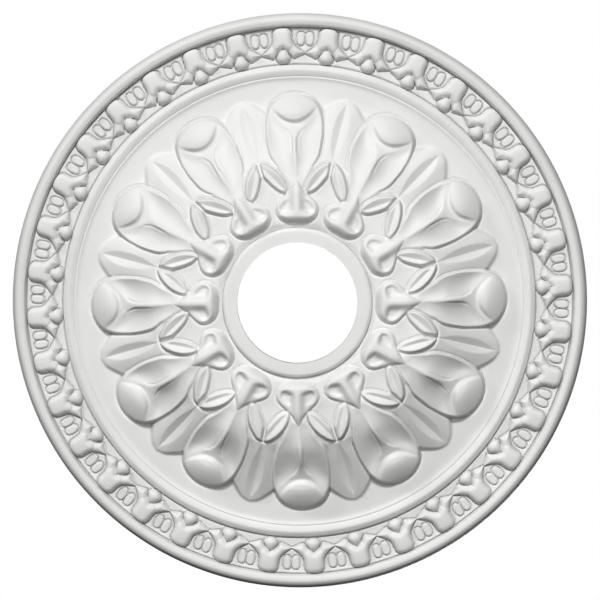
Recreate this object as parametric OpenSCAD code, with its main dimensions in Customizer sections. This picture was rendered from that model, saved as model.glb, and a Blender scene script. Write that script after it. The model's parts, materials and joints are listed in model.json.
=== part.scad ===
// Ceiling rose: a one-piece moulded ring with a domed flower of twelve petals,
// leaf groups between them and a carved border of thirty-six buds.
// It is drawn face up, with its back on z = 0, and turned over at the end:
// the back then lies on the ceiling plane z = 0 and the ornament hangs below.

/* [Overall] */
// Outside diameter
outer_d = 470; // [380:1:700]
// Diameter of the hole through the middle
hole_d = 96; // [80:1:104]
// Straight length of the hole behind its front edge
hole_straight = 12; // [6:0.5:20]
// How far the hole opens out towards the back, on the radius
hole_relief = 6; // [1:0.5:8]
// Height of the flat middle ring above the ceiling
collar_h = 41; // [36:0.5:56]
// Width of the flat middle ring, from the hole to its outer edge
collar_w = 12; // [9:0.5:14]

/* [Border] */
// Width of the outer roll
roll_w = 11.5; // [9:0.5:14]
// Height of the top of the outer roll
roll_h = 14.5; // [12:0.5:18]
// Width of the carved band between the outer roll and the inner bead
band_w = 30; // [26:0.5:34]
// Height of the floor of the carved band
band_floor_h = 8; // [7:0.5:9]
// Number of buds round the border
buds = 36; // [24:1:40]
// Width of a bud
bud_w = 17.6; // [14:0.1:20]
// Height of a bud above the floor of the band
bud_rise = 6.5; // [4:0.5:8]
// Width of the inner bead
bead_w = 10; // [8:0.5:12]
// Height of the top of the inner bead
bead_h = 13; // [11:0.5:16]

/* [Flower] */
// Width of the plain panel between the flower and the inner bead
panel_w = 12; // [10:0.5:30]
// Height of the panel just outside the flower
panel_h = 9; // [8:0.5:10]
// Height of the flower's level middle ground
plateau_h = 38.5; // [34:0.5:52]
// Number of petals
petals = 12; // [10:1:14]
// Share of its pitch that a petal fills where it is widest
petal_fill = 0.66; // [0.5:0.01:0.68]
// Width of a petal at its neck
neck_w = 13; // [10:0.5:15]
// Width of a petal's middle rib
rib_w = 5; // [3:0.5:7]
// How far a petal's rib stands above the ground beside it
rib_rise = 6.6; // [3:0.2:8]
// How far a petal's head stands above the ground beside it
head_rise = 7.5; // [4:0.5:10]
// Share of its pitch that the rolled foot at the inner end of a petal fills
foot_fill = 0.895; // [0.7:0.005:0.9]
// Share of the flower's depth that a foot takes up
foot_part = 0.256; // [0.2:0.002:0.3]
// How far the lip of a foot stands above the level ground
foot_rise = 7.5; // [4:0.5:9]
// Share of the flower's depth that the pointed leaf in each gap takes up
lance_part = 0.41; // [0.32:0.01:0.44]
// Width of that pointed leaf
lance_w = 10.6; // [7:0.2:12]
// Length of the two small leaves at its root as a share of the flower's depth
leaf_part = 0.29; // [0.2:0.01:0.3]
// Width of a small leaf
leaf_w = 10; // [7:0.2:11]
// How far a small leaf stands above the ground
leaf_rise = 2.2; // [1.4:0.1:3]

/* [Hidden] */
$fn = 96;

outer_r = outer_d / 2;
hole_r = hole_d / 2;
roll_in_r = outer_r - roll_w;
band_in_r = roll_in_r - band_w;
bead_in_r = band_in_r - bead_w;
flower_r = bead_in_r - panel_w;
bud_pitch = 360 / buds;
bud_turn = 3.5;
pitch = 360 / petals;
collar_r = hole_r + collar_w;
foot_gap = 2;
foot_in_r = collar_r + foot_gap;

// The flower runs from the feet to the tips of the petals.
flower_depth = flower_r - foot_in_r;
foot_l = foot_part * flower_depth;
foot_out_r = foot_in_r + foot_l;
foot_widest = 0.42;
foot_w = foot_fill * pitch_at(foot_in_r + foot_widest * foot_l);
petal_mid_r = flower_r - 0.283 * flower_depth;
petal_w = petal_fill * pitch_at(petal_mid_r);
lance_l = lance_part * flower_depth;
lance_margin = 9.5;
node_r = flower_r - lance_l - lance_margin;
leaf_l = leaf_part * flower_depth;
leaf_spread = 30;
rim_rise = 1.8;

// Small parts of the border.
arm_w = 5;
arm_rise = 4.5;
drop_w = 11.6;
bean_w = 7.2;

// How far the ground lies below the carving's own edges, and how deep the
// carving runs on into the ground.
edge_drop = 1.6;
bury = 3;

// Distance from one petal to the next along the circle at a radius.
function pitch_at(r) = 2 * PI * r / petals;

function mix(a, b, t) = a + (b - a) * t;
function clamp01(t) = min(1, max(0, t));
function ease(t) = pow(clamp01(t), 2) * (3 - 2 * clamp01(t));

// Rises from 0 at a to 1 at m and falls back to 0 at b.
function bump(t, a, m, b) = t < m ? ease((t - a) / (m - a)) : 1 - ease((t - m) / (b - m));

// Points of a circle's arc from the angle a to the angle b.
function arc(centre, r, a, b, n) =
    [for (i = [0:n]) centre + r * [cos(mix(a, b, i / n)), sin(mix(a, b, i / n))]];

// One closed section of a loft that runs out along x. half holds [offset, height]
// pairs from the middle down to the foot of one side, and the other side mirrors it.
function section(x, half) =
    concat(
        [for (i = [len(half) - 1:-1:1]) [x, half[i][0], half[i][1]]],
        [for (p = half) [x, -p[0], p[1]]]
    );

// Joins a row of closed sections, each a list of points, into one solid.
module loft(sections) {
    n = len(sections[0]);
    rows = len(sections);
    sides = [
        for (i = [0:rows - 2]) for (j = [0:n - 1])
            let (a = i * n + j, b = i * n + (j + 1) % n, c = a + n, d = b + n)
            each [[a, d, b], [a, c, d]]
    ];
    start_cap = [for (j = [0:n - 1]) j];
    end_cap = [for (j = [n - 1:-1:0]) (rows - 1) * n + j];
    polyhedron(points = [for (s = sections) each s], faces = concat([start_cap], sides, [end_cap]));
}

// ---- What runs round ----

// Height of the flower's ground at a radius: level in the middle, then a
// straight slope, and a rounded toe down to the panel.
shoulder_r = node_r - 8;
shoulder_h = plateau_h - 2;
toe_r = flower_r - 12;
toe_h = panel_h + 5.5;
function ground_h(r) =
    r < foot_out_r ? plateau_h
    : r < shoulder_r ? mix(plateau_h, shoulder_h, pow((r - foot_out_r) / (shoulder_r - foot_out_r), 2))
    : r < toe_r ? mix(shoulder_h, toe_h, (r - shoulder_r) / (toe_r - shoulder_r))
    : panel_h + (toe_h - panel_h) * sqrt(1 - pow(clamp01((r - toe_r) / (flower_r - toe_r)), 2));

// Hole, middle ring, ground, panel, inner bead, band floor and outer roll.
module ground() {
    round_r = 1.2;
    collar_shoulder = 3;
    hollow_w = 6;
    hollow_rise = 1.6;
    rotate_extrude()
        polygon(concat(
            [
                [hole_r + hole_relief, 0],
                [hole_r, collar_h - hole_straight],
                [hole_r, collar_h - round_r],
                [hole_r + round_r, collar_h],
                [collar_r - collar_shoulder, collar_h],
                [collar_r - round_r, collar_h - round_r],
                [collar_r, plateau_h - edge_drop],
                [shoulder_r - 6, plateau_h - edge_drop],
                [shoulder_r + 4, ground_h(shoulder_r + 4) - edge_drop],
                [toe_r, toe_h - edge_drop],
                [flower_r - 2, panel_h],
                [bead_in_r - hollow_w, panel_h],
                [bead_in_r - round_r, panel_h + hollow_rise],
                [bead_in_r, panel_h]
            ],
            arc([bead_in_r + bead_w / 2, bead_h - bead_w / 2], bead_w / 2, 150, 0, 5),
            [
                [band_in_r, band_floor_h],
                [roll_in_r, band_floor_h]
            ],
            arc([outer_r - roll_w / 2, roll_h - roll_w / 2], roll_w / 2, 180, 0, 7),
            [[outer_r, 0]]
        ));
}

// ---- Flower ----

// Half width of a petal: a narrow neck, a spoon and a round tip.
function petal_half(r) =
    r < petal_mid_r
        ? let (t = clamp01((r - foot_out_r) / (petal_mid_r - foot_out_r)))
            mix(neck_w, petal_w, pow(sin(90 * t), 1.45)) / 2
        : petal_w / 2 * sqrt(max(0.1, 1 - pow((r - petal_mid_r) / (flower_r - petal_mid_r), 2)));

// Height of a petal above the ground, with t from 0 at the neck to 1 at the tip
// and u from 0 at the middle to 1 at the edge: a rib that dies into a hollow
// bowl, a rim along both sides and a domed head past the crest.
function petal_rise(t, u) =
    let (
        rib = mix(rim_rise, rib_rise, bump(t, 0.05, 0.4, 0.62)) * (1 - ease((t - 0.48) / 0.2)),
        bowl = rim_rise * bump(t, 0.38, 0.6, 0.74) * sin(180 * clamp01(u / 0.85)),
        rim = rim_rise * bump(t, 0.1, 0.4, 1.1) * clamp01((u - 0.45) / 0.4),
        crown = sqrt(1 - pow(clamp01((t - 0.84) / 0.16), 2)) * max(0, 1 - 1.05 * u * u),
        head = head_rise * ease((t - 0.62) / 0.18) * crown
    )
    head - bowl + (u == 0 ? rib : 0) + (u < 0.9 ? rim : 0);

module petal() {
    start_r = foot_out_r - 3;
    loft([
        for (t = [0, 0.2, 0.44, 0.62, 0.78, 0.91, 1])
            let (
                r = mix(start_r, flower_r, t),
                w = petal_half(r),
                rib_u = min(0.4, rib_w / 2 / w)
            )
            section(r, [
                for (u = [0, rib_u, 0.5, 0.86, 1]) [u * w, ground_h(r) + petal_rise(t, u)],
                [w, ground_h(r) - bury]
            ])
    ]);
}

// The rolled foot at the inner end of a petal: a rounded lip towards the hole,
// a middle ridge and a hollow on each side of it.
module foot() {
    half = foot_w / 2;
    loft([
        for (q = [0, 0.15, 0.45, 1])
            let (
                lip = foot_rise * sqrt(1 - pow(1 - min(1, q / 0.3), 2)),
                w = q < foot_widest
                    ? half * mix(0.5, 1, sqrt(1 - pow(1 - q / foot_widest, 2)))
                    : mix(half, neck_w / 2.4, ease((q - foot_widest) / (1 - foot_widest))),
                hollow = mix(0.2, 0.7, ease(q / 0.4))
            )
            section(foot_in_r + foot_l * q, [
                [0, plateau_h + lip],
                [0.55 * w, plateau_h + lip * (1 - hollow)],
                [0.86 * w, plateau_h + lip * 0.32],
                [w, plateau_h + lip * 0.1],
                [w, plateau_h - bury]
            ])
    ]);
}

// The swelling between two petals, with the pointed leaf cut into it as a vee.
module lobe() {
    reach = flower_r - 1 - node_r;
    half = 0.62 * node_r * sin(pitch / 2);
    loft([
        for (t = [0, 0.25, 0.55, 0.82, 1])
            let (
                r = node_r + reach * t,
                w = half * sqrt(max(0.16, 1 - pow(clamp01((t - 0.5) / 0.5), 2))),
                leaf = min(0.6 * w, max(0.4, lance_w / 2 * sin(180 * min(1, t * reach / lance_l)))),
                top = ground_h(r)
            )
            section(r, [
                [0, top - 0.3 * leaf],
                [leaf, top],
                [w, top - 0.6 * edge_drop],
                [w, top - edge_drop - bury]
            ])
    ]);
}

// One of the two small leaves that part at the node, with a vee for its vein.
module small_leaf(side) {
    root = [node_r - 1.5, side * 0.8];
    run = [-cos(leaf_spread), side * sin(leaf_spread)];
    across = [-run[1], run[0]];
    function at(s, d, rise) =
        let (p = root + s * leaf_l * run + d * across)
        [p[0], p[1], ground_h(norm(p)) + rise];
    loft([
        for (s = [0, 0.5, 1])
            let (w = max(0.3, leaf_w / 2 * sqrt(sin(180 * s))))
            [
                at(s, w, -bury),
                at(s, 0.85 * w, leaf_rise),
                at(s, 0, 0.6 * leaf_rise),
                at(s, -0.85 * w, leaf_rise),
                at(s, -w, -bury)
            ]
    ]);
}

module flower() {
    for (i = [0:petals - 1]) {
        rotate(i * pitch) petal();
        rotate(i * pitch) foot();
        rotate((i + 0.5) * pitch) lobe();
        for (side = [-1, 1]) rotate((i + 0.5) * pitch) small_leaf(side);
    }
}

// ---- Border ----

// A place across the band, from 0 at the inner bead to 1 at the outer roll.
function across_band(f) = band_in_r + f * band_w;

// The bud itself: a round head against the outer roll and a narrower root.
module bud_head() {
    loft([
        for (f = [0.36, 0.78, 1.04])
            let (
                w = bud_w / 2 * mix(0.6, 1, bump(f, 0.36, 0.78, 1.3)),
                rise = bud_rise * mix(0.75, 1, bump(f, 0.36, 0.78, 1.1))
            )
            section(across_band(f), [
                [0, band_floor_h + rise],
                [0.8 * w, band_floor_h + 0.7 * rise],
                [w, band_floor_h - bury]
            ])
    ]);
}

// The two arms that slope down from this bud's root and up to the next one's.
module swag() {
    loft([
        for (side = [-1, 0, 1])
            let (
                r = across_band(side == 0 ? 0.25 : 0.46),
                w = side == 0 ? 0.5 * arm_w : arm_w,
                top = side == 0 ? 0.6 * arm_rise : arm_rise,
                a = side * (bud_pitch / 2 - 1)
            )
            [
                for (p = section(0, [[0, top], [w, -bury]]))
                    [(r + p[1]) * cos(a), -(r + p[1]) * sin(a), band_floor_h + p[2]]
            ]
    ]);
}

// The drop under the fork of the arms, pointed outwards.
module bud_drop() {
    loft([
        for (f = [[0.02, 0.5], [0.17, 1], [0.34, 0.08]])
            section(across_band(f[0]), [
                [0, band_floor_h + 0.6 * bud_rise * f[1]],
                [drop_w / 2 * f[1], band_floor_h - bury]
            ])
    ]);
}

// The pair of beans in the pocket between two buds, as one body with a cleft.
module bean_pair() {
    loft([
        for (f = [[0.41, 0.55], [0.61, 1], [0.81, 0.55]])
            section(across_band(f[0]), [
                [0, band_floor_h + 0.8],
                [bean_w / 2 * f[1], band_floor_h + 0.6 * bud_rise * f[1]],
                [bean_w * f[1], band_floor_h - bury]
            ])
    ]);
}

module border() {
    for (i = [0:buds - 1])
        rotate(i * bud_pitch + bud_turn) {
            bud_head();
            bud_drop();
            rotate(bud_pitch / 2) swag();
            rotate(bud_pitch / 2) bean_pair();
        }
}

// The carving is joined into one body first, at its drawn size.
module carving() {
    resize([0, 0, 0]) {
        flower();
        border();
    }
}

module ceiling_rose() {
    color([0.93, 0.93, 0.91])
        rotate([180, 0, 0]) {
            ground();
            carving();
        }
}

ceiling_rose();
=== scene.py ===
"""Ceiling rose: the finished surface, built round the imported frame.

The rose hangs below the ceiling plane z = 0 and faces down. Its shape is a height above that
plane, worked out in millimetres in the rose's own drawing: the radius r, the angle a measured
anticlockwise as seen from below, and the height h that becomes -z. Each ornament is worked out
once for half of its repeat, mirrored, and turned round the ring.
"""

import json
import math

import bpy
import numpy as np
from mathutils import Matrix, Vector


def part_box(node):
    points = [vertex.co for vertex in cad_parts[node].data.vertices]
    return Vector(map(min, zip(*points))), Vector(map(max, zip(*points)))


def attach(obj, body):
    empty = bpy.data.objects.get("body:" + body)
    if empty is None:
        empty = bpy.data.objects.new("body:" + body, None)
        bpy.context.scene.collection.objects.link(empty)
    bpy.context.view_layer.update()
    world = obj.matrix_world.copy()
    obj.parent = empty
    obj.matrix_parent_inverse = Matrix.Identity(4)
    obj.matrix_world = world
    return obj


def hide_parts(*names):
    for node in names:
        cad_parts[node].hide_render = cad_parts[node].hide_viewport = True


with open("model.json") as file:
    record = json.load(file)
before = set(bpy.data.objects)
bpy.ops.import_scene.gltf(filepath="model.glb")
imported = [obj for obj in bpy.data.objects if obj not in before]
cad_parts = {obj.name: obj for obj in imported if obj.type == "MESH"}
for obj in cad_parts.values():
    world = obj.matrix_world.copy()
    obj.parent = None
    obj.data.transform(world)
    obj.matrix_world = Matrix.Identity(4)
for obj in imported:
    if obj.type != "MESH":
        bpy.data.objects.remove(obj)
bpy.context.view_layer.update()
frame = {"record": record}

MM = 0.001
NODE = "ceiling_rose"
MOUNTS = {m["name"]: m for m in frame["record"]["mounts"]}

# ---- Sizes, in mm ----

low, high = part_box(NODE)
OUTER_R = high.x / MM
DEEPEST = -low.z / MM
HOLE_R = MOUNTS["centre_hole"]["dims"]["r_mm"]

ROLL_W = 11.5
BAND_W = 30
BEAD_W = 10
PANEL_W = 11
COLLAR_W = 12
ROLL_IN_R = OUTER_R - ROLL_W
BAND_IN_R = ROLL_IN_R - BAND_W
BEAD_IN_R = BAND_IN_R - BEAD_W
FIELD_OUT_R = BEAD_IN_R - PANEL_W
COLLAR_R = HOLE_R + COLLAR_W
PANEL_H = 9
FLOOR_H = 8
FEET_ABOVE_COLLAR = 5
COLLAR_H = DEEPEST - FEET_ABOVE_COLLAR

PETALS = 12
BUDS = 36
BUD_TURN = math.radians(3.5)
HALF_PETAL = math.pi / PETALS
HALF_BUD = math.pi / BUDS


# ---- Curves ----

def ramp(x, a, b):
    """Rises smoothly from 0 at a to 1 at b."""
    t = np.clip((np.asarray(x, float) - a) / (b - a), 0, 1)
    return t * t * (3 - 2 * t)


def curve(x, knots):
    """A smooth line through (x, y) knots that doesn't overshoot between them."""
    kx, ky = np.array(knots, float).T
    step = np.diff(kx)
    slope = np.diff(ky) / step
    m = np.concatenate(([slope[0]], (slope[1:] + slope[:-1]) / 2, [slope[-1]]))
    same = slope[1:] * slope[:-1] > 0
    harmonic = 2 * slope[1:] * slope[:-1] / np.where(same, slope[1:] + slope[:-1], 1)
    m[1:-1] = np.where(same, harmonic, 0)
    x = np.clip(x, kx[0], kx[-1])
    i = np.clip(np.searchsorted(kx, x) - 1, 0, len(step) - 1)
    t = (x - kx[i]) / step[i]
    return (
        ky[i] * (1 + 2 * t) * (1 - t) ** 2
        + m[i] * step[i] * t * (1 - t) ** 2
        + ky[i + 1] * t * t * (3 - 2 * t)
        + m[i + 1] * step[i] * t * t * (t - 1)
    )


def rounded(d, radius):
    """A quarter circle: 0 at the edge, 1 from radius inwards."""
    t = np.clip(d / radius, 0, 1)
    return np.sqrt(1 - (1 - t) ** 2)


def groove(d, depth, half):
    """A soft groove along the line where d is 0, about half to each side."""
    return depth * np.exp(-(d / half) ** 2)


def steps_from(r, h, steps):
    """Points of a profile, given as steps out and up from one place."""
    return [(r + out, h + up) for out, up in steps]


def smooth_outline(points, per_span=12):
    """A Catmull-Rom line through the points, as a row of points close together."""
    p = np.array(points, float)
    p = np.vstack([2 * p[0] - p[1], p, 2 * p[-1] - p[-2]])
    t = np.linspace(0, 1, per_span, endpoint=False)[:, None]
    spans = [
        0.5 * (
            2 * b + (c - a) * t + (2 * a - 5 * b + 4 * c - d) * t ** 2 + (3 * b - a - 3 * c + d) * t ** 3
        )
        for a, b, c, d in zip(p, p[1:], p[2:], p[3:])
    ]
    return np.vstack(spans + [p[-2:-1]])


def nearest(x, y, line):
    """Distance from each point to an open or closed line, and the place on it that is nearest."""
    a, b = line[:-1], line[1:]
    ab = b - a
    px, py = x.ravel()[:, None], y.ravel()[:, None]
    t = ((px - a[:, 0]) * ab[:, 0] + (py - a[:, 1]) * ab[:, 1]) / (ab ** 2).sum(1)
    t = np.clip(t, 0, 1)
    qx, qy = a[:, 0] + t * ab[:, 0], a[:, 1] + t * ab[:, 1]
    d2 = (px - qx) ** 2 + (py - qy) ** 2
    k = d2.argmin(1)
    row = np.arange(len(k))
    shape = x.shape
    return np.sqrt(d2[row, k]).reshape(shape), qx[row, k].reshape(shape), qy[row, k].reshape(shape)


def inside(x, y, loop):
    """Whether each point is inside a closed loop of points."""
    ax, ay = loop[:-1].T
    bx, by = loop[1:].T
    px, py = x.ravel()[:, None], y.ravel()[:, None]
    crosses = (ay > py) != (by > py)
    at = ax + (py - ay) * (bx - ax) / np.where(by == ay, 1, by - ay)
    return ((crosses & (px < at)).sum(1) % 2 == 1).reshape(x.shape)


def depth_in(x, y, half_line, mirrored=True):
    """Distance inside the shape bounded by a line and its mirror image in y = 0: negative outside."""
    loop = half_line
    if mirrored:
        loop = np.vstack([half_line, half_line[::-1] * [1, -1]])
    if np.any(loop[0] != loop[-1]):
        loop = np.vstack([loop, loop[:1]])
    d = nearest(x, y, half_line)[0]
    return np.where(inside(x, y, loop), d, -d)


# ---- The flower ----
# Places are along and across the axis of a petal, which is at angle 0. The outer part of the
# flower is turned a little against the feet, as if it had been wrung. RIB_TOP, FLUTE, RIM,
# HEAD_TOP and GROUND follow heights that a scratch script worked out from the photo's shading.

PETAL_LINE = smooth_outline([
    (88, 6.5), (100, 10.8), (108.9, 15.0), (112.4, 17.6), (118.3, 20.7), (130.2, 23.3), (138.3, 24.0),
    (147.8, 23.9), (155.1, 22.9), (160.8, 20.4), (165, 16.4), (168.2, 11.2), (170, 5.8), (170.6, 0),
])
PETAL_EDGE = [(100, 2.2), (140, 2.7), (150, 3.0), (160, 3.6), (171, 3.6)]
PETAL_EDGE_STARTS = (105, 112)
RIB_TOP = [
    (85, 45), (91.8, 43.7), (95, 42.0), (98.3, 40.5), (101.4, 39.7), (107.9, 39.1), (114.5, 38.6),
    (117.8, 38.0), (121.2, 36.9), (124.5, 35.3), (127.9, 33.2), (131.3, 30.3), (134.8, 27.2),
    (138.3, 24.8), (141.6, 22.8), (144.9, 21.1), (150, 19.8), (156, 18.6),
]
RIB_HALF = [
    (85, 1.4), (128, 1.4), (132.4, 1.9), (135, 2.9), (138, 4.4), (140.5, 6.4), (143, 8.8), (146, 12),
    (150, 15.5),
]
RIB_FORK = 140
RIB_CROWN = 0.35
FLUTE = [
    (85, 40), (95, 39.8), (98.3, 39.3), (101.4, 38.6), (104.7, 38.0), (107.9, 37.2), (114.5, 34.9),
    (117.8, 33.4), (121.2, 31.5), (124.5, 29.3), (127.9, 27.1), (131.3, 24.9), (134.8, 22.9),
    (138.3, 21.2), (141.6, 20.0), (144.9, 19.6), (148.3, 19.4), (153, 18.9), (160, 16.4),
]
FLUTE_CURL = [(100, 3.0), (118, 4.4), (128, 5.4), (134, 4.4), (140, 2.8), (146, 2.0)]
CREASE_DEPTH = 1.1
CREASE_HALF = 0.9
CREASE_STARTS = (116, 124)
CREASE_ENDS = (141, 134)
RIM_W = 2.2
RIM_START = 0.42
RIM_CURL = 2.2
RIM = [
    (85, 40), (95, 39.6), (104.7, 38.8), (107.9, 38.3), (114.5, 36.4), (117.8, 35.1), (121.2, 33.6),
    (124.5, 32.0), (127.9, 30.3), (131.3, 28.4), (134.8, 26.5), (138.3, 24.5), (141.6, 22.8),
    (144.9, 21.4), (148.3, 20.3), (151.6, 19.4), (155, 18.5), (158.2, 17.2), (161.5, 15.4), (165, 13.1),
    (170.6, 10.4),
]
HEAD_TOP = [
    (143, 23.3), (147.3, 24.6), (151, 24.7), (155, 23.6), (158.2, 21.9), (161.5, 19.7), (164.9, 16.8),
    (168.2, 13.4), (170.6, 10.8),
]
HEAD_HALF = [(143, 15.2), (150, 16.8), (155, 18.0), (159, 18.8), (163, 18.4), (166, 16), (170.6, 9)]
CRESCENT_AT = 145.4
CRESCENT_BOW = 9.7
CRESCENT_HALF = 16.2
CRESCENT_EDGE = 2.1

FOOT_LINE = smooth_outline([
    (62.3, 0), (62.5, 7.0), (64.2, 11.8), (67.4, 15.4), (71.8, 17.5), (76.2, 17.6), (80.6, 15.4),
    (85.9, 10.2), (89.8, 6.2), (94.6, 2.9), (99.0, 0),
])
FOOT_RIDGE = [
    (62, 44), (66.5, 45.2), (69.5, 45.8), (72.5, 45.9), (78.8, 45.6), (85.3, 45.1), (88.5, 44.6),
    (91.7, 43.7), (95, 42.0), (98.3, 40.5),
]
FOOT_DISH = [
    (62, 41.6), (69, 41.8), (71.5, 41.0), (74.5, 40.4), (79, 40.4), (82, 40.9), (88.5, 41.0), (92, 40.5),
    (99, 39.6),
]
FOOT_RIDGE_HALF = [
    (62, 16), (68, 14), (70.3, 10.5), (72.3, 6.6), (74.5, 5.0), (82, 4.7), (88, 4.4), (91.5, 3.7), (95, 3.0),
    (99, 2.6),
]
FOOT_RIDGE_POWER = 2.6
FOOT_EDGE = [(62, 8.3), (66, 7.8), (69, 6.2), (72, 4.4), (76, 3.1), (82, 2.4), (99, 1.8)]
FOOT_LIP = 1.6
FOOT_LIP_FALLS = (6.5, 3.2)
FOOT_LIP_ENDS = (86, 78)

GROUND = [
    (60, 35.8), (61.5, 37.0), (63.5, 38.2), (66, 38.7), (78, 38.9), (88, 38.3), (98, 37.6), (107, 36.4),
    (112, 35.4), (115.5, 34.4), (118, 33.2), (123, 31.0), (128, 28.9), (134.8, 25.8), (141.6, 22.8),
    (148.3, 19.8), (155, 16.7), (158.2, 15.2), (161.5, 13.6), (164.9, 12.0), (168, 10.5), (170, 9.5),
]
LOBE_END = smooth_outline([(150, 24), (156, 19.6), (160.4, 15.9), (165, 11.2), (168.3, 6.4), (169.8, 0)])
LOBE_FLAT_HALF = 5
LOBE_FALL = 0.075
LOBE_FALL_POWER = 1.5
LOBE_FALL_STARTS = (114, 124)
LOBE_OUTER_R = 140
LOBE_END_W = 2.6
LOBE_END_FLARE = 0.3
LOBE_LIP = 0.3

NODE_AT = 114.7
LANCE_TIP_AT = 164.6
LANCE_HALF = [
    (0, 0.03), (0.02, 0.6), (0.08, 1.2), (0.17, 2.7), (0.37, 5.1), (0.55, 5.9), (0.68, 5.7), (0.83, 4.0),
    (0.93, 2.0), (1, 0.05),
]
LANCE_SLOPE = 0.5
LEAF_ROOT = NODE_AT * np.array([math.cos(HALF_PETAL), math.sin(HALF_PETAL)])
LEAF_TIP = np.array([87.1, 7.4])
LEAF_LENGTH = np.linalg.norm(LEAF_TIP - LEAF_ROOT)
LEAF_RUN = (LEAF_TIP - LEAF_ROOT) / LEAF_LENGTH
LEAF_LOOP = smooth_outline([
    (-0.6, 0), (1.4, 3.4), (4.8, 5.6), (11.5, 7.2), (17.5, 7.5), (23, 6.9), (28, 5.2), (31.2, 3.2), (33.0, 0),
    (31.6, -2.0), (29, -3.6), (25.5, -4.8), (19, -5.4), (11, -5.2), (5, -4.0), (1, -2.2), (-0.6, 0),
], per_span=8)
LEAF_TOP = [
    (84, 40.9), (90, 41.6), (96, 42.1), (101, 42.2), (106, 41.6), (110, 40.4), (113, 39.2), (116, 38.0),
]
LEAF_GAP_HALF = 0.4
VEIN_HALF = 4.5
VEIN_SLOPE = 0.52

FEET_MID_R = 72
FULL_TWIST_R = 130
FEET_TWIST = math.radians(0.2)
PETAL_TWIST = math.radians(0.95)


def twist(r):
    """How far the flower is turned at a radius: a little over the feet, and more over the petals."""
    return FEET_TWIST * ramp(r, COLLAR_R, FEET_MID_R) + PETAL_TWIST * ramp(r, FEET_MID_R, FULL_TWIST_R)


def along_leaf(x, y):
    """Distances along a small leaf from its root, and to the side of its vein."""
    dx, dy = x - LEAF_ROOT[0], y - LEAF_ROOT[1]
    return dx * LEAF_RUN[0] + dy * LEAF_RUN[1], dy * LEAF_RUN[0] - dx * LEAF_RUN[1]


def across_gap(x, y):
    """Distances along and across the line midway between two petals."""
    c, s = math.cos(HALF_PETAL), math.sin(HALF_PETAL)
    return x * c + y * s, np.abs(y * c - x * s)


def raised(h, d, top, width, sink, power):
    """Puts a raised shape of depth d on the ground h, with a rolled edge and a sunk line round it."""
    bed = h - groove(np.minimum(d, 0), depth=sink, half=0.9)
    edge = 1 - (1 - np.clip(d / width, 0, 1)) ** power
    return np.where(d > 0, bed + (top - bed) * edge, bed)


def lobe_height(r, along, across):
    """Height of the ground: a lobe in each gap between petals, with the long pointed leaf cut into it."""
    fall = LOBE_FALL * np.maximum(across - LOBE_FLAT_HALF, 0) ** LOBE_FALL_POWER * ramp(r, *LOBE_FALL_STARTS)
    lance_half = curve((along - NODE_AT) / (LANCE_TIP_AT - NODE_AT), LANCE_HALF)
    lobe = curve(r, GROUND) - fall - LANCE_SLOPE * lance_half * np.clip(1 - across / lance_half, 0, 1)
    end_at = np.interp(across, LOBE_END[::-1, 1], LOBE_END[::-1, 0])
    ends = ramp((end_at - along) / (LOBE_END_W + LOBE_END_FLARE * across), 0, 1)
    return np.where(r > LOBE_OUTER_R, PANEL_H + np.maximum(lobe - PANEL_H, LOBE_LIP) * ends, lobe)


def petal_top(p, q):
    """Height of a petal's own face: a rib and two hollows, then the domed head."""
    half = np.maximum(np.interp(p, PETAL_LINE[:, 0], PETAL_LINE[:, 1]), 0.5)
    rib_half = curve(p, RIB_HALF)
    hollow_end = np.maximum(half - RIM_W, rib_half + 1)
    u = np.clip((q - rib_half) / (hollow_end - rib_half), 0, 1)
    flute, rim = curve(p, FLUTE), curve(p, RIM)
    rib = (curve(p, RIB_TOP) - flute) * (1 - u) ** curve(p, FLUTE_CURL)
    crown = RIB_CROWN * np.minimum(q / rib_half, 1) ** 2 * (p < RIB_FORK) * (1 - u) ** 4
    crease = groove(q - rib_half - CREASE_HALF, CREASE_DEPTH, CREASE_HALF)
    crease = crease * ramp(p, *CREASE_STARTS) * ramp(p, *CREASE_ENDS)
    lift = (rim - flute) * np.clip((u - RIM_START) / (1 - RIM_START), 0, 1) ** RIM_CURL
    blade = flute + rib - crease - crown + lift
    swell = np.clip(1 - (q / np.minimum(curve(p, HEAD_HALF), half + 1)) ** 2, 0, 1)
    head = rim + (curve(p, HEAD_TOP) - rim) * swell
    past_crescent = p - CRESCENT_AT - CRESCENT_BOW * (q / CRESCENT_HALF) ** 2
    return blade + (head - blade) * ramp(past_crescent, -CRESCENT_EDGE, CRESCENT_EDGE)


def with_petal(h, x, y):
    """Lays a petal on the ground h. Its edge fades in from under the foot."""
    d = depth_in(x, y, PETAL_LINE)
    top = petal_top(x, y)
    hidden = h + (top - h) * ramp(d, -2, 3)
    seen = raised(h, d, top, curve(x, PETAL_EDGE), sink=1.1, power=1.7)
    return hidden + (seen - hidden) * ramp(x, *PETAL_EDGE_STARTS)


def with_small_leaf(h, x, y, r, across):
    """Lays one of the two small leaves at the root of the pointed leaf."""
    run, side = along_leaf(x, y)
    d = np.minimum(depth_in(run, side, LEAF_LOOP, mirrored=False), across - LEAF_GAP_HALF)
    vein_half = VEIN_HALF * np.sin(math.pi * np.clip(run / LEAF_LENGTH, 0.02, 0.98)) ** 0.8
    vein = VEIN_SLOPE * vein_half * np.clip(1 - np.abs(side) / vein_half, 0, 1)
    return raised(h, d, np.maximum(curve(r, LEAF_TOP) - vein, h), width=2.5, sink=1.2, power=1.45)


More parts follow.
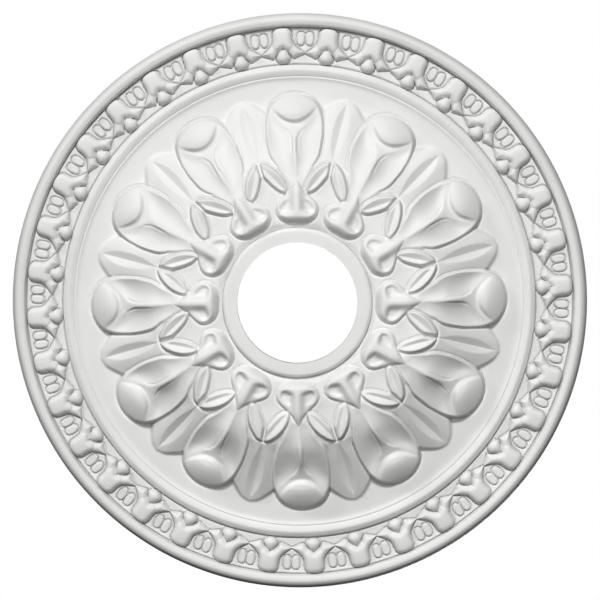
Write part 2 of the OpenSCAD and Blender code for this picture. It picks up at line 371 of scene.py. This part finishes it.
def with_foot(h, x, y):
    """Lays the foot, with a thick lip towards the hole and a hollow on each side of its ridge."""
    d = depth_in(x, y, FOOT_LINE)
    dish = curve(x, FOOT_DISH)
    ridge = np.exp(-(y / curve(x, FOOT_RIDGE_HALF)) ** FOOT_RIDGE_POWER)
    lip = FOOT_LIP * ramp(d, *FOOT_LIP_FALLS) * ramp(x, *FOOT_LIP_ENDS)
    top = dish + (curve(x, FOOT_RIDGE) - dish) * ridge + lip
    return raised(h, d, top, curve(x, FOOT_EDGE), sink=0.5, power=1.6)


def field_height(x, y):
    """Height of the flower at places given along and across a petal's axis."""
    r = np.hypot(x, y)
    along, across = across_gap(x, y)
    h = lobe_height(r, along, across)
    h = with_petal(h, x, y)
    h = with_small_leaf(h, x, y, r, across)
    return with_foot(h, x, y)


# ---- The border ----
# Places are out from the centre and along the ring from a bud's axis.

BODY_OUT_LINE = smooth_outline([
    (223.5, 0), (223.2, 3.6), (222.2, 6.0), (220.4, 7.7), (218.0, 8.4), (215, 8.4), (211.5, 8.8),
    (208.8, 10.4), (206.2, 13.0), (204.0, 15.6), (202.4, 17.7),
])
BODY_IN_LINE = smooth_outline([
    (202.0, 17.7), (200.4, 14.0), (199.2, 11.0), (198.2, 9.0), (198.6, 7.8), (200.4, 6.2), (202.6, 4.2),
    (204.4, 2.2), (205.8, 0),
])
BODY_LINE = np.vstack([BODY_OUT_LINE, BODY_IN_LINE])
BODY_RISE = 5.4
BODY_SINK = 1.4
KNOB_AT = 213.5
KNOB_OUT, KNOB_HALF, KNOB_RISE = 11, 9.2, 1.9
DROP_AT = 198.8
DROP_OUT, DROP_IN, DROP_HALF = 7.0, 5.1, 6.2
DROP_TAPER = 0.35
DROP_RISE = 6.4
DROP_SINK = 0.8
DROP_LINE = np.array([
    (
        DROP_AT + (DROP_OUT if c > 0 else DROP_IN) * c,
        DROP_HALF * (1 - DROP_TAPER * max(c, 0)) * math.sqrt(1 - c * c),
    )
    for c in np.cos(np.linspace(0, math.pi, 41))
])
BEAN_AT = (214.2, 3.6)
BEAN_HALF = (5.9, 3.6)
BEAN_POWER = 0.8
BEAN_RISE = 1.2


def squarish(value):
    """A cosine or sine made fuller, so that an oval drawn with it is squarer."""
    return math.copysign(abs(value) ** BEAN_POWER, value)


BEAN_LINE = smooth_outline([
    (
        BEAN_AT[0] + BEAN_HALF[0] * squarish(math.cos(t)),
        BEAN_AT[1] + BEAN_HALF[1] * (1 + 0.08 * math.cos(t)) * squarish(math.sin(t)),
    )
    for t in np.linspace(0, 2 * math.pi, 25)
], per_span=6)


def drop_dome(r, y):
    """Height of the domed drop under the fork of the arms."""
    u = (r - DROP_AT) / np.where(r > DROP_AT, DROP_OUT, DROP_IN)
    v = y / (DROP_HALF * (1 - DROP_TAPER * np.clip(u, 0, 1)))
    return FLOOR_H - DROP_SINK + DROP_RISE * np.sqrt(np.clip(1 - u ** 2 - v ** 2, 0, 1))


def band_height(r, a):
    """Height of the border at a radius and an angle from a bud's axis."""
    y = r * a
    to_mid = r * (HALF_BUD - a)

    # A pair of low beans in the pocket between two buds.
    d = depth_in(r, to_mid, BEAN_LINE, mirrored=False)
    h = FLOOR_H + BEAN_RISE * rounded(d, radius=1.9) * (d > 0) - groove(d, depth=2.2, half=0.5)

    # The drop, and the bud with its two arms.
    in_drop = depth_in(r, y, DROP_LINE)
    h = np.where(in_drop > 0, drop_dome(r, y), h - groove(in_drop, depth=2.0, half=0.8))
    d = depth_in(r, y, BODY_LINE)
    knob = np.sqrt(np.clip(1 - ((r - KNOB_AT) / KNOB_OUT) ** 2 - (y / KNOB_HALF) ** 2, 0, 1))
    body = FLOOR_H - BODY_SINK + BODY_RISE * rounded(d, radius=4.6) + KNOB_RISE * knob
    crevice = groove(d, depth=2.3, half=0.75) * ramp(in_drop, 1.0, -0.3)
    h = np.where(d > 0, np.maximum(body, h * (in_drop > 0)), h - crevice)

    # Both edges of the band dip into a fine groove.
    edge = np.minimum(r - BAND_IN_R, ROLL_IN_R - r)
    return h - groove(edge, depth=2.4, half=0.6)


# ---- Rings that are the same all round ----

COLLAR_PROFILE = [
    (HOLE_R + 6, 0),
    *steps_from(HOLE_R, COLLAR_H, [
        (0.8, -12), (0, -0.6), (0.1, -0.25), (0.35, -0.05), (0.8, 0), (8.4, 0), (9.8, -0.35), (10.9, -1.1),
        (11.6, -2.3), (11.9, -4.2),
    ]),
    (COLLAR_R, COLLAR_H - 5.2),
]
PANEL_PROFILE = [
    *steps_from(FIELD_OUT_R, PANEL_H, [(0, 0), (5.5, 0), (8, 0.35)]),
    *steps_from(BEAD_IN_R, PANEL_H, [
        (-1.4, 1.1), (-0.6, 1.2), (-0.1, 0.9), (0.5, 1.4), (2, 2.2), (4, 2.9), (5.5, 2.9), (7.6, 1.9),
        (9, 0.9), (9.6, -1.2),
    ]),
    (BAND_IN_R, FLOOR_H - 1.6),
]
ROLL_PROFILE = [
    *steps_from(ROLL_IN_R, FLOOR_H, [(0, -1.6), (0.3, 2.4), (0.7, 4.3), (1.4, 5.2), (3.4, 6.0), (5.0, 6.2)]),
    *steps_from(OUTER_R, FLOOR_H, [
        (-5.2, 5.8), (-3.7, 4.9), (-2.2, 3.2), (-1.0, 1.2), (-0.3, -0.4), (0, -2.0), (0, -6.5),
    ]),
    (OUTER_R, 0),
]


# ---- Meshes ----

def place(r, a, h):
    """Points in metres from a radius, an angle and a height."""
    return np.stack([r * np.cos(a), -r * np.sin(a), -h], -1) * MM


SHARP_ANGLE = math.radians(58)


def closed_mesh(name, top, all_round):
    """A solid whose front is the grid top, rows outwards and columns round, and whose back is flat."""
    first, last = top[:1].copy(), top[-1:].copy()
    first[..., 2] = 0
    last[..., 2] = 0
    grid = np.concatenate([top, last, first])
    rows, columns = grid.shape[:2]
    index = np.arange(rows * columns).reshape(rows, columns)
    next_row = np.roll(index, -1, 0)
    if all_round:
        a, b = index, np.roll(index, -1, 1)
        c, d = np.roll(next_row, -1, 1), next_row
    else:
        a, b = index[:, :-1], index[:, 1:]
        c, d = next_row[:, 1:], next_row[:, :-1]
    faces = np.stack([a, b, c, d], -1).reshape(-1, 4).tolist()
    if not all_round:
        faces += [index[:, 0].tolist(), index[::-1, -1].tolist()]
    mesh = bpy.data.meshes.new(name)
    mesh.from_pydata(grid.reshape(-1, 3).tolist(), [], faces)
    mesh.update()
    mesh.shade_smooth()
    mesh.set_sharp_from_angle(angle=SHARP_ANGLE)
    piece = bpy.data.objects.new(name, mesh)
    bpy.context.scene.collection.objects.link(piece)
    return piece


def ring(name, profile, columns):
    """A ring with the same profile all round."""
    line = smooth_outline(profile, per_span=3)
    line[:, 0] = np.minimum(line[:, 0], OUTER_R)
    a = np.linspace(0, 2 * math.pi, columns, endpoint=False)
    r, a = np.meshgrid(line[:, 0], a, indexing="ij")
    h = np.repeat(line[:, 1:], columns, 1)
    return closed_mesh(name, place(r, a, h), True)


def snap(x, y, lines, reach):
    """Moves the inner points of a grid that lie near a line onto it, so that edges are crisp."""
    for line in lines:
        d, qx, qy = nearest(x, y, line)
        near = d < reach
        near[0], near[-1] = False, False
        near[:, 0], near[:, -1] = False, False
        x, y = np.where(near, qx, x), np.where(near, qy, y)
    return x, y


def repeated(name, r, a, h, half_angle, turn, first, count):
    """Mirrors a half repeat, sets it round the ring count times from first, and makes one solid of it.

    The last step turns every place by turn, an angle or a function of the radius.
    """
    turns = 2 * half_angle * np.arange(first, first + count)
    both_a = np.concatenate([-a[:, :0:-1], a[:, :-1]], 1)
    rr = np.tile(np.concatenate([r[:, :0:-1], r[:, :-1]], 1), (1, count))
    aa = np.concatenate([both_a + t for t in turns], 1)
    hh = np.tile(np.concatenate([h[:, :0:-1], h[:, :-1]], 1), (1, count))
    all_round = count * 2 * half_angle > 2 * math.pi - 1e-6
    if not all_round:
        rr = np.concatenate([rr, r[:, -1:]], 1)
        aa = np.concatenate([aa, a[:, -1:] + turns[-1]], 1)
        hh = np.concatenate([hh, h[:, -1:]], 1)
    aa = aa + (turn(rr) if callable(turn) else turn)
    return closed_mesh(name, place(rr, aa, hh), all_round)


def build_field():
    """The flower in three thirds, each of four petals."""
    rows, columns, thirds = 158, 62, 3
    r, a = np.meshgrid(
        np.linspace(COLLAR_R, FIELD_OUT_R, rows), np.linspace(0, HALF_PETAL, columns + 1), indexing="ij"
    )
    sides = np.array([-LEAF_RUN[1], LEAF_RUN[0]])
    leaf_line = LEAF_ROOT + LEAF_LOOP[:, :1] * LEAF_RUN + LEAF_LOOP[:, 1:] * sides
    x, y = snap(r * np.cos(a), r * np.sin(a), [leaf_line, PETAL_LINE, FOOT_LINE], reach=0.3)
    h = field_height(x, y)
    r, a = np.hypot(x, y), np.arctan2(y, x)
    each = PETALS // thirds
    return [
        repeated(f"flower_part_{i + 1}", r, a, h, HALF_PETAL, twist, i * each, each) for i in range(thirds)
    ]


def build_band():
    """The carved border in two halves."""
    rows, columns, halves = 62, 32, 2
    r, a = np.meshgrid(
        np.linspace(BAND_IN_R, ROLL_IN_R, rows), np.linspace(0, HALF_BUD, columns + 1), indexing="ij"
    )
    x, y = snap(r, r * a, [DROP_LINE, BODY_LINE], reach=0.2)
    x, y = snap(x, x * HALF_BUD - y, [BEAN_LINE], reach=0.22)
    r, a = x, HALF_BUD - y / x
    h = band_height(r, a)
    each = BUDS // halves
    return [
        repeated(f"border_part_{i + 1}", r, a, h, HALF_BUD, BUD_TURN, i * each, each) for i in range(halves)
    ]


# ---- Finish ----

def primed_white():
    """Moulded foam under a matte white factory primer: a fine tooth and a faint unevenness of the cast."""
    material = bpy.data.materials.new("primed_white")
    material.use_nodes = True
    nodes, links = material.node_tree.nodes, material.node_tree.links
    shader = nodes["Principled BSDF"]
    shader.inputs["Specular IOR Level"].default_value = 0.3
    place_at = nodes.new("ShaderNodeTexCoord")

    def noise(scale, detail):
        node = nodes.new("ShaderNodeTexNoise")
        node.inputs["Scale"].default_value = scale
        node.inputs["Detail"].default_value = detail
        links.new(place_at.outputs["Object"], node.inputs["Vector"])
        return node.outputs["Fac"]

    def spread(value, bottom, top):
        node = nodes.new("ShaderNodeMapRange")
        node.inputs["From Min"].default_value = 0.3
        node.inputs["From Max"].default_value = 0.7
        node.inputs["To Min"].default_value = bottom
        node.inputs["To Max"].default_value = top
        links.new(value, node.inputs["Value"])
        return node.outputs["Result"]

    cloud, tooth, cast = noise(scale=22, detail=3), noise(scale=1400, detail=2), noise(scale=90, detail=3)
    tint = nodes.new("ShaderNodeMix")
    tint.data_type = "RGBA"
    tint.inputs["A"].default_value = (0.71, 0.71, 0.70, 1)
    tint.inputs["B"].default_value = (0.75, 0.75, 0.742, 1)
    links.new(spread(cloud, 0, 1), tint.inputs["Factor"])
    links.new(tint.outputs["Result"], shader.inputs["Base Color"])
    links.new(spread(cast, 0.55, 0.68), shader.inputs["Roughness"])
    fine = nodes.new("ShaderNodeBump")
    fine.inputs["Strength"].default_value = 0.25
    fine.inputs["Distance"].default_value = 0.00006
    links.new(tooth, fine.inputs["Height"])
    broad = nodes.new("ShaderNodeBump")
    broad.inputs["Strength"].default_value = 0.3
    broad.inputs["Distance"].default_value = 0.0003
    links.new(cast, broad.inputs["Height"])
    links.new(fine.outputs["Normal"], broad.inputs["Normal"])
    links.new(broad.outputs["Normal"], shader.inputs["Normal"])
    return material


def build_rose():
    """Every piece of the moulding, under one finish."""
    finish = primed_white()
    pieces = [
        ring("middle_ring", COLLAR_PROFILE, columns=480),
        ring("panel_and_bead", PANEL_PROFILE, columns=720),
        ring("outer_roll", ROLL_PROFILE, columns=720),
        *build_field(),
        *build_band(),
    ]
    for piece in pieces:
        piece.data.materials.append(finish)
        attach(piece, "root")
        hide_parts(NODE)


# ---- Floor, light and camera ----

ROOM_H = 5.0
FLOOR_HALF = 6.0


def plain_material(name, colour):
    """A plain matte finish for what isn't part of the rose."""
    material = bpy.data.materials.new(name)
    material.use_nodes = True
    shader = material.node_tree.nodes["Principled BSDF"]
    shader.inputs["Base Color"].default_value = (*colour, 1)
    shader.inputs["Roughness"].default_value = 0.9
    return material


def build_floor():
    """A plain pale floor, a tall hall's height below."""
    corners = [(x * FLOOR_HALF, y * FLOOR_HALF, -ROOM_H) for x, y in ((-1, -1), (1, -1), (1, 1), (-1, 1))]
    mesh = bpy.data.meshes.new("floor")
    mesh.from_pydata(corners, [], [(0, 1, 2, 3)])
    mesh.materials.append(plain_material("pale_floor", (0.8, 0.8, 0.79)))
    floor = bpy.data.objects.new("floor", mesh)
    bpy.context.scene.collection.objects.link(floor)


def looking(position, target, up):
    """A placement at position that looks at target along its own -Z, with up as near as can be to +Y."""
    position, target = Vector(position), Vector(target)
    back = (position - target).normalized()
    right = Vector(up).cross(back).normalized()
    turn = Matrix((right, back.cross(right), back)).transposed().to_4x4()
    return Matrix.Translation(position) @ turn


def soft_light(name, position, size, watts):
    """A round soft light that looks at the centre of the rose's back."""
    data = bpy.data.lights.new(name, "AREA")
    data.shape = "DISK"
    data.size = size
    data.energy = watts
    light = bpy.data.objects.new(name, data)
    light.matrix_world = looking(position, (0, 0, 0), (0.3, 0.9, 0.2))
    bpy.context.scene.collection.objects.link(light)


def build_lights():
    """A soft main light from the top of the view, a low one from its left, and fills for front and back."""
    soft_light("main", (-0.2, -3.1, -4.3), size=0.9, watts=212)
    soft_light("side", (-3.8, -3.2, -2.2), size=0.9, watts=60)
    soft_light("front_fill", (0.02, 0.0, -0.7), size=0.35, watts=1.35)
    soft_light("back_fill", (0.3, 0.5, 0.9), size=0.6, watts=16)


def build_world():
    """White to the eye, and nearly dark as a light."""
    world = bpy.data.worlds.new("white_background")
    bpy.context.scene.world = world
    world.use_nodes = True
    nodes, links = world.node_tree.nodes, world.node_tree.links
    seen = nodes["Background"]
    seen.inputs["Color"].default_value = (1, 1, 1, 1)
    seen.inputs["Strength"].default_value = 1.0
    lit = nodes.new("ShaderNodeBackground")
    lit.inputs["Color"].default_value = (1, 1, 1, 1)
    lit.inputs["Strength"].default_value = 0.01
    path = nodes.new("ShaderNodeLightPath")
    mix = nodes.new("ShaderNodeMixShader")
    links.new(path.outputs["Is Camera Ray"], mix.inputs["Fac"])
    links.new(lit.outputs["Background"], mix.inputs[1])
    links.new(seen.outputs["Background"], mix.inputs[2])
    links.new(mix.outputs["Shader"], nodes["World Output"].inputs["Surface"])


def build_camera():
    """Below the rose and 1 to 2 degrees off its axis, looking up at it."""
    distance, sideways, upwards = 1.2, 1.5, 1.4
    view_w = 0.4903
    off_centre = (0.0013, -0.0014)
    toward = Vector((math.tan(math.radians(sideways)), -math.tan(math.radians(upwards)), -1)).normalized()
    target = Vector((*off_centre, -FLOOR_H * MM))
    data = bpy.data.cameras.new("camera")
    data.sensor_width = 36
    data.lens = data.sensor_width * distance / view_w
    data.clip_end = 20
    camera = bpy.data.objects.new("camera", data)
    camera.matrix_world = looking(target + toward * distance, target, (0, -1, 0))
    bpy.context.scene.collection.objects.link(camera)
    bpy.context.scene.camera = camera


build_rose()
build_floor()
build_lights()
build_world()
build_camera()
bpy.context.scene.view_settings.view_transform = "Standard"
bpy.context.scene.view_settings.gamma = 0.85
